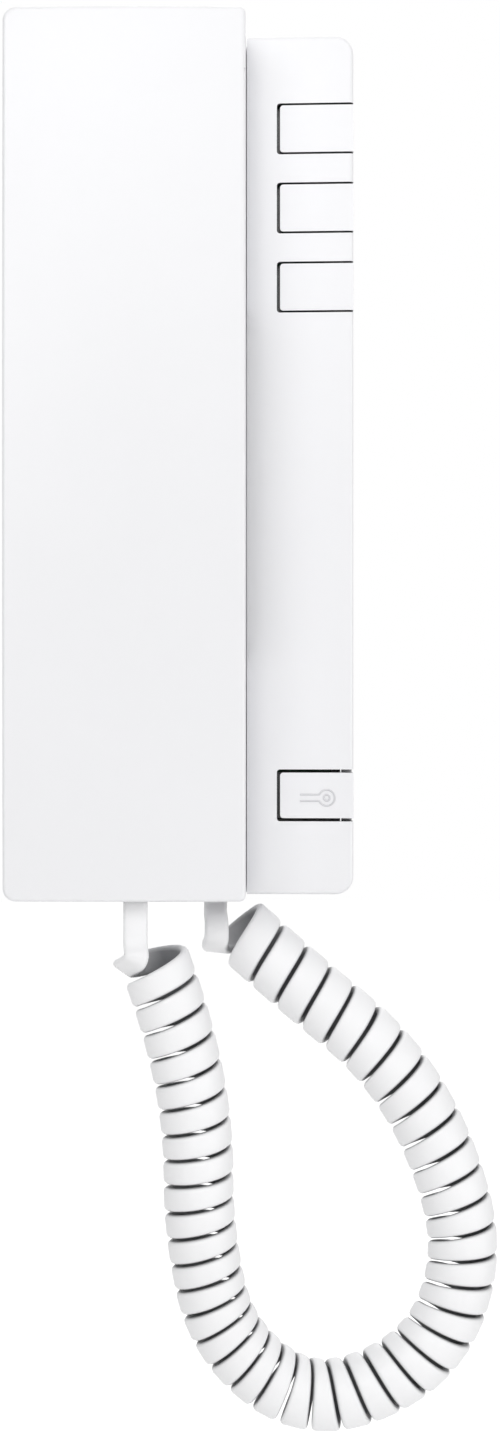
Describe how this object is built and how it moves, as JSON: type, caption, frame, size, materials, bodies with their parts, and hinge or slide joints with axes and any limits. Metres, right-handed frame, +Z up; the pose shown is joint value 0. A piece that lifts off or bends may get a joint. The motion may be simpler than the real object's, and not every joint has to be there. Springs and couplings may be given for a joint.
{
  "type": "audio intercom handset station",
  "caption": "Slim wall-mounted audio door station: full-height handset on a cradle, button column at its right, and a curly flat cord.",
  "frame": {"origin": "middle of the two wall screw holes, on the wall plane", "axes": "+X to the viewer's right, -Y out of the wall towards the viewer, +Z up along the handset"},
  "size_m": [0.1214, 0.045, 0.3471],
  "materials": {
    "white_abs": "moulded, fine grain",
    "grey_plastic": "moulded",
    "cord_pvc": "smooth",
    "board_laminate": "solder mask",
    "terminal_green": "moulded",
    "plated_steel": "zinc plated",
    "black_rubber": "soft",
    "grey_foam": "open cell foam"
  },
  "bodies": {
    "base": {"front_cover": "white_abs", "wall_plate": "white_abs", "cover_screw": "plated_steel", "circuit_board": "board_laminate", "board_screws": "plated_steel", "push_switches": "grey_plastic", "hook_switch": "grey_plastic", "hook_spring": "plated_steel", "call_sounder": "plated_steel", "terminal_block": "terminal_green", "terminal_screws": "plated_steel", "base_socket": "grey_plastic", "base_plug": "cord_pvc", "curly_cord": "cord_pvc"},
    "handset": {"handset_front": "white_abs", "handset_rear": "white_abs", "handset_screws": "plated_steel", "earpiece": "grey_plastic", "earpiece_foam": "grey_foam", "microphone": "plated_steel", "microphone_boot": "black_rubber", "ballast_weight": "plated_steel", "handset_socket": "grey_plastic", "handset_plug": "cord_pvc"},
    "hook": {"hook_plunger": "white_abs"},
    "call_button_1_cap": {"call_button_1": "white_abs", "call_pin_1": "grey_plastic"},
    "call_button_2_cap": {"call_button_2": "white_abs", "call_pin_2": "grey_plastic"},
    "call_button_3_cap": {"call_button_3": "white_abs", "call_pin_3": "grey_plastic"},
    "door_button_cap": {"door_button": "white_abs", "door_pin": "grey_plastic"}
  },
  "joints": [
    {"name": "handset_lift", "type": "slide", "parent": "base", "child": "handset", "axis": [0, -1, 0], "range_m": [0, 0.045]},
    {"name": "hook_travel", "type": "slide", "parent": "base", "child": "hook", "axis": [0, -1, 0], "range_m": [0, 0.003]},
    {"name": "call_button_1_press", "type": "slide", "parent": "base", "child": "call_button_1_cap", "axis": [0, 1, 0], "range_m": [0, 0.0008], "stiffness_N_per_m": 1000},
    {"name": "call_button_2_press", "type": "slide", "parent": "base", "child": "call_button_2_cap", "axis": [0, 1, 0], "range_m": [0, 0.0008], "stiffness_N_per_m": 1000},
    {"name": "call_button_3_press", "type": "slide", "parent": "base", "child": "call_button_3_cap", "axis": [0, 1, 0], "range_m": [0, 0.0008], "stiffness_N_per_m": 1000},
    {"name": "door_button_press", "type": "slide", "parent": "base", "child": "door_button_cap", "axis": [0, 1, 0], "range_m": [0, 0.0008], "stiffness_N_per_m": 1000}
  ],
  "couplings": [
    {"joint": "hook_travel", "follows": "handset_lift", "ratio": 0.066667}
  ]
}
